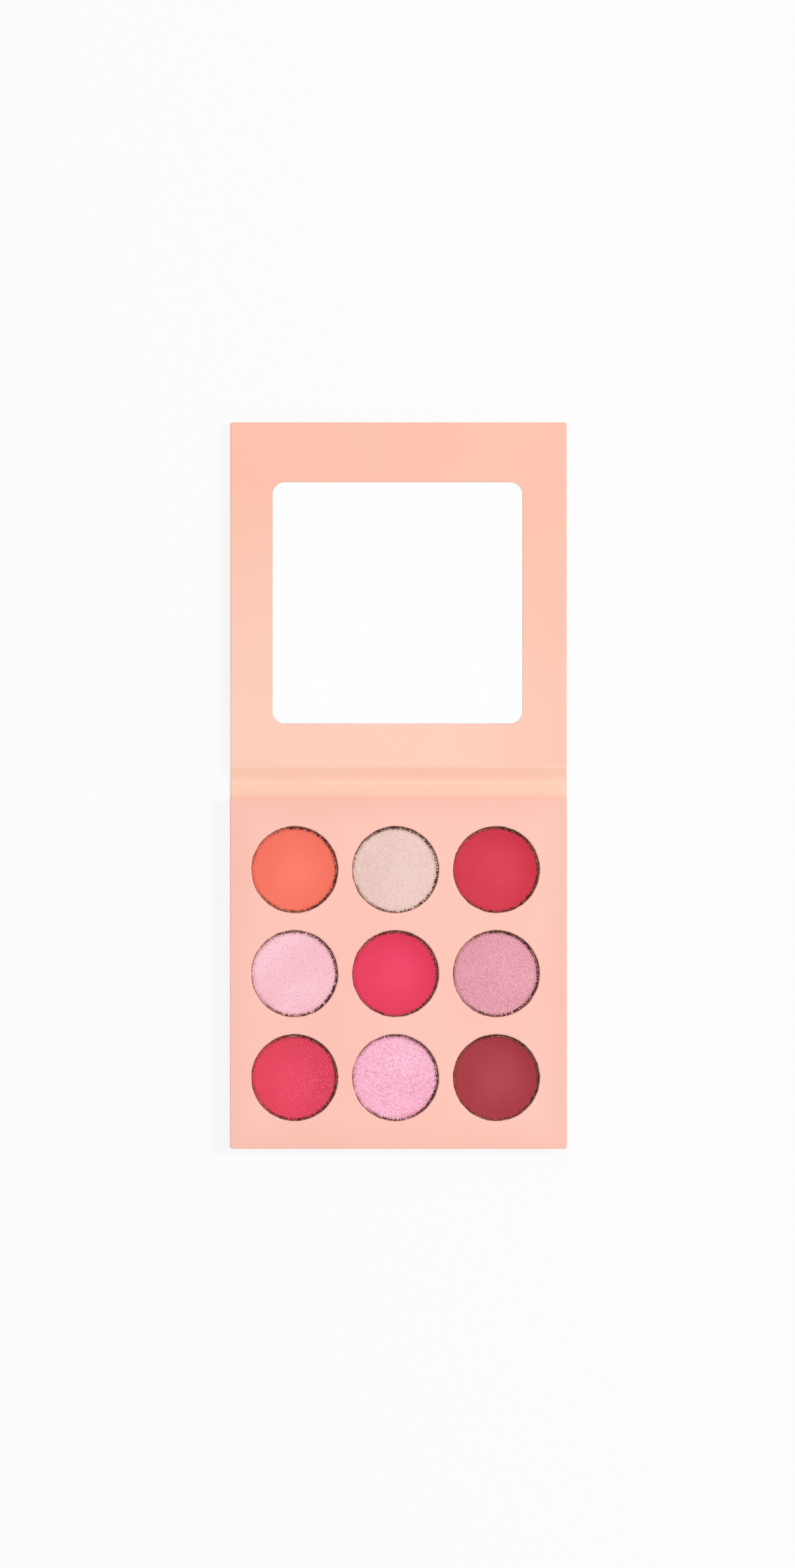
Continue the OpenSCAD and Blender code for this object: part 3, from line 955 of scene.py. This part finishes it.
def crumb(shell, chance, place, size):
    """One irregular crumb, gathered into a shell."""
    turn = Matrix.Rotation(chance.uniform(0, math.tau), 3, "Z")
    stretch = Vector([chance.uniform(*limits) for limits in CRUMB_STRETCH])
    rings = []
    for tilt in CRUMB_TILTS:
        ring = []
        for i in range(CRUMB_SIDES):
            a = i * math.tau / CRUMB_SIDES + tilt
            r = size * chance.uniform(0.78, 1.15)
            spot = Vector((r * math.cos(a) * math.cos(tilt), r * math.sin(a) * math.cos(tilt),
                           r * math.sin(tilt))) * stretch
            ring.append(place + turn @ spot)
        rings.append(shell.ring(ring))
    for first, second in zip(rings, rings[1:]):
        shell.join(first, second)
    shell.faces.append(tuple(reversed(rings[0])))
    shell.faces.append(tuple(rings[-1]))


def crumbs_mesh(name, material, centre, rim_z, seed):
    """Crumbs of powder caught on the rim, most of them at the front and the back."""
    chance = random.Random(CRUMB_SEED + seed)
    bead_x = PAN_RADIUS - BEAD
    shell = Shell()
    while len(shell.points) < CRUMB_POINTS * CRUMBS:
        angle = chance.uniform(0, math.tau)
        if chance.random() > 0.25 + 0.75 * abs(math.sin(angle)) ** 3:
            continue
        r = bead_x + chance.gauss(0.08, 0.16) * MM
        size = min(0.26, 0.06 + abs(chance.gauss(0, 0.07))) * MM
        across = max(-1.0, min(1.0, (r - bead_x) / BEAD))
        top = rim_z - BEAD + BEAD * math.sqrt(1 - across ** 2)
        crumb(shell, chance, Vector((centre.x + r * math.cos(angle),
                                     centre.y + r * math.sin(angle), top + size * 0.1)), size)
    return shell.make("crumbs_" + name, material, 0.0, 30)


for index, (name, base, light, dark, finish, shift) in enumerate(SHADES):
    pan_name = f"pan_{index + 1}"
    centre = middle_of(pan_name) + Vector((shift[0] * MM, shift[1] * MM, 0))
    rim_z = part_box(pan_name)[1].z
    powder = powder_material("powder_" + name, base, light, dark, finish, centre)
    tin = tinplate_material(pan_name + "_tinplate", base, centre)
    placed(pan_mesh(pan_name, tin, centre, index), "base", "tinplate", pan_name)
    gap_angle = math.atan2(-shift[1], -shift[0]) + LIGHT_TURN
    placed(powder_mesh(name, powder, centre, rim_z, finish, index, gap_angle), "base",
           "powder_" + name, "shadow_" + name)
    placed(crumbs_mesh(name, powder, centre, rim_z, index), "base", "powder_" + name)

# ---------------------------------------------------------------- carried-over CAD nodes

board = board_material()
nickel = metal_material("magnet_nickel", (150, 150, 152), (200, 200, 202), 0.2)
steel = metal_material("catch_steel", (110, 110, 112), (160, 160, 162), 0.35)
mirror = mirror_material("mirror_glass")
silver = mirror_material("mirror_silver")
adhesive = film_material("adhesive", (236, 234, 226), (246, 245, 240))
glue = film_material("glue", (226, 214, 186), (240, 232, 210))

for node_name, finish in {
    "base_board": board, "tray_lower_board": board, "tray_upper_board": board,
    "spine_card": board, "lid_board": board, "lid_frame": board,
    "base_lining": outer_paper, "lid_lining": spine_paper,
    "lid_magnets": nickel, "catch_plates": steel, "mirror_glass": mirror,
    "mirror_silver": silver, "mirror_tape": adhesive, "pan_glue_dots": glue,
}.items():
    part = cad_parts[node_name]
    part.data.materials.clear()
    part.data.materials.append(finish)

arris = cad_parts["mirror_glass"].modifiers.new("arris", "BEVEL")
arris.width = 0.12 * MM
arris.segments = 3
arris.limit_method = "ANGLE"
arris.angle_limit = math.radians(60)

# ---------------------------------------------------------------- stage, light and camera

FLOOR_HALF = 3
FLOOR_Z = -0.02 * MM
FLOOR_PAINT = 0.15
FLOOR_GLOW = 0.824
SKY_OVERHEAD, SKY_SIDE = 1.01, 0.58
KEY_PLACE, KEY_SIZE, KEY_POWER = (2.10, 0.50, 1.90), 1.2, 44.0
CAMERA_PLACE = (-0.34 * MM, 0.4 * MM, 1.7)
VIEW_HEIGHT = 0.4884          # how much the view takes in at the tray's face
SENSOR = 36


def floor():
    """A white floor that glows, so that only a faint shadow shows on it."""
    made, tree, shader, coords = new_material("floor_paint", Roughness=0.9)
    shader.inputs["Base Color"].default_value = (FLOOR_PAINT, FLOOR_PAINT, FLOOR_PAINT, 1)
    shader.inputs["Emission Color"].default_value = (1, 1, 1, 1)
    shader.inputs["Emission Strength"].default_value = FLOOR_GLOW
    shader.inputs["Specular IOR Level"].default_value = 0.0
    shell = Shell()
    corners = ((-1, -1), (1, -1), (1, 1), (-1, 1))
    shell.faces.append(tuple(shell.ring([(x * FLOOR_HALF, y * FLOOR_HALF, FLOOR_Z)
                                         for x, y in corners])))
    shell.make("floor", made)


def area_light(name, place, size, power):
    """A round soft box that faces the origin."""
    lamp = bpy.data.lights.new(name, "AREA")
    lamp.shape = "DISK"
    lamp.size = size
    lamp.energy = power
    holder = bpy.data.objects.new(name, lamp)
    holder.location = place
    holder.rotation_euler = (-Vector(place)).to_track_quat("-Z", "Y").to_euler()
    bpy.context.collection.objects.link(holder)


def sky(overhead, side):
    """A soft surround, with a broad white diffuser straight overhead."""
    world = bpy.data.worlds.new("studio")
    bpy.context.scene.world = world
    world.use_nodes = True
    tree = world.node_tree
    up = node(tree, "ShaderNodeSeparateXYZ",
              {0: node(tree, "ShaderNodeTexCoord").outputs["Generated"]}).outputs["Z"]
    tone = node(tree, "ShaderNodeMapRange", {"Value": up, "From Min": 0.78, "From Max": 0.97},
                interpolation_type="SMOOTHSTEP").outputs["Result"]
    tree.links.new(mixed(tree, tone, (side, side, side, 1), (overhead, overhead, overhead, 1)),
                   tree.nodes["Background"].inputs["Color"])


def camera():
    """Straight above the palette, as far back as a product camera stands."""
    lens = bpy.data.cameras.new("camera")
    lens.sensor_width = SENSOR
    lens.lens = SENSOR * (CAMERA_PLACE[2] - tray_hi.z) / VIEW_HEIGHT
    lens.clip_start = 0.01
    holder = bpy.data.objects.new("camera", lens)
    holder.location = CAMERA_PLACE
    bpy.context.collection.objects.link(holder)
    bpy.context.scene.camera = holder


floor()
sky(SKY_OVERHEAD, SKY_SIDE)
area_light("key", KEY_PLACE, KEY_SIZE, KEY_POWER)
camera()
bpy.context.scene.view_settings.view_transform = "Standard"
